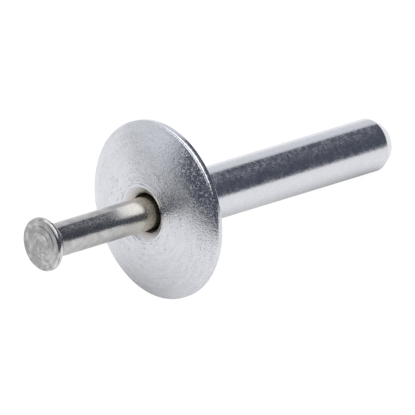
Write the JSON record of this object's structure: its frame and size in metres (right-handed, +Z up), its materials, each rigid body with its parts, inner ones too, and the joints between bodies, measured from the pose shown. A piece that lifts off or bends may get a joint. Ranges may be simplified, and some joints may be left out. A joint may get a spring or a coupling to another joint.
{
  "type": "hammer drive rivet",
  "caption": "Drive rivet with a large domed flange, a plain closed shank and a headed pin that is hammered in until its head sits in the conical seat in the flange.",
  "frame": {"origin": "on the ground, under the middle of the box round the rivet as it lies at rest", "axes": "+Z up from the ground; +X along the lying rivet, from the pin's head towards the end of the shank; +Y across it"},
  "size_m": [0.04, 0.016, 0.0157],
  "materials": {
    "rivet_body": "satin, tumbled, with fine turned rings on the flange",
    "drive_pin": "drawn and lightly polished stainless steel"
  },
  "bodies": {
    "rivet": {"rivet_body": "rivet_body"},
    "pin": {"drive_pin": "drive_pin"}
  },
  "joints": [
    {"name": "pin_drive", "type": "slide", "parent": "rivet", "child": "pin", "axis": [0.976, 0, -0.218], "range_m": [0, 0.0114]}
  ]
}
